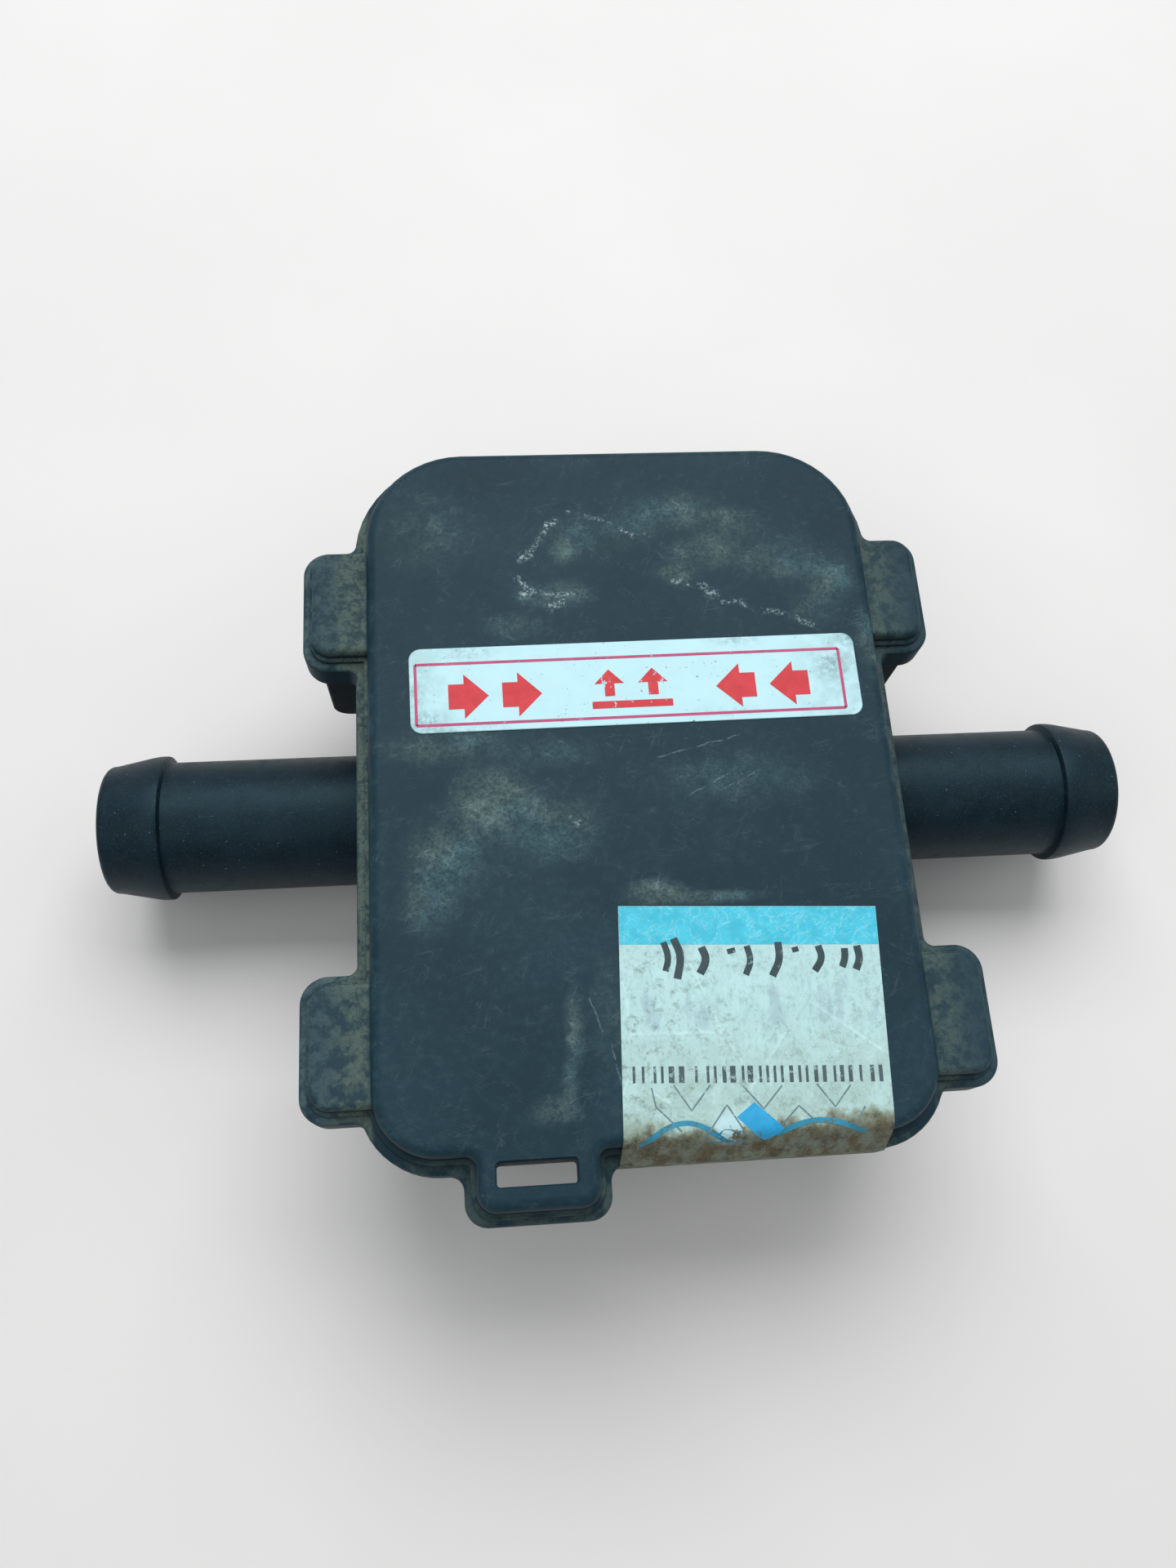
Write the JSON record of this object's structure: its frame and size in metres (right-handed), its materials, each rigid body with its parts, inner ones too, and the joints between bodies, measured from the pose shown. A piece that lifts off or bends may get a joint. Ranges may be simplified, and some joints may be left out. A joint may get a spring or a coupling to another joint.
{
  "type": "in-line gas pressure and temperature sensor",
  "caption": "Black plastic box with a clip-on lid and two barbed hose tails that senses gas pressure, gas temperature and manifold pressure on a gas-fuelled engine.",
  "frame": {"origin": "on the flat back face of the housing, under the middle of the gas line", "axes": "+X along the gas line, +Y towards the edge with the vacuum nipple, +Z out of the lid"},
  "size_m": [0.093, 0.0747, 0.0265],
  "materials": {
    "lid_plastic": "matt charcoal moulding, dusty and scuffed",
    "base_plastic": "matt black moulding",
    "tail_plastic": "satin black moulding",
    "seal_rubber": "black rubber",
    "port_silicone": "red silicone rubber",
    "sensor_ceramic": "pale moulded sensing element",
    "thermistor_epoxy": "epoxy bead on tinned leads",
    "filter_felt": "pressed felt disc",
    "board_laminate": "green solder mask",
    "pin_metal": "tinned brass",
    "screw_steel": "zinc plated",
    "chip_moulding": "black epoxy moulding",
    "capacitor_moulding": "ochre moulding",
    "label_film": "pale printed film, lightly soiled",
    "seal_paper": "printed security paper, stained"
  },
  "bodies": {
    "housing": {"base_housing": "base_plastic", "lid_gasket": "seal_rubber", "hose_tail_left": "tail_plastic", "hose_tail_right": "tail_plastic", "tail_o_ring_left": "seal_rubber", "tail_o_ring_right": "seal_rubber", "vacuum_nipple": "tail_plastic", "vacuum_filter": "filter_felt", "gas_pressure_sensor": "sensor_ceramic", "gas_port_seal": "port_silicone", "manifold_pressure_sensor": "sensor_ceramic", "manifold_port_seal": "port_silicone", "gas_thermistor": "thermistor_epoxy", "thermistor_grommet": "seal_rubber", "circuit_board": "board_laminate", "terminal_pin_1": "pin_metal", "terminal_pin_2": "pin_metal", "terminal_pin_3": "pin_metal", "terminal_pin_4": "pin_metal", "terminal_pin_5": "pin_metal", "terminal_pin_6": "pin_metal", "board_screw_1": "screw_steel", "board_screw_2": "screw_steel", "board_screw_3": "screw_steel", "board_screw_4": "screw_steel", "signal_processor": "chip_moulding", "voltage_regulator": "chip_moulding", "smoothing_capacitor_1": "capacitor_moulding", "smoothing_capacitor_2": "capacitor_moulding", "tamper_seal_lower": "seal_paper"},
    "lid": {"lid": "lid_plastic", "direction_label": "label_film", "tamper_seal_upper": "seal_paper"}
  },
  "joints": [
    {"name": "lid_lift", "type": "slide", "parent": "housing", "child": "lid", "axis": [0, 0, 1], "range_m": [0, 0.02]}
  ]
}
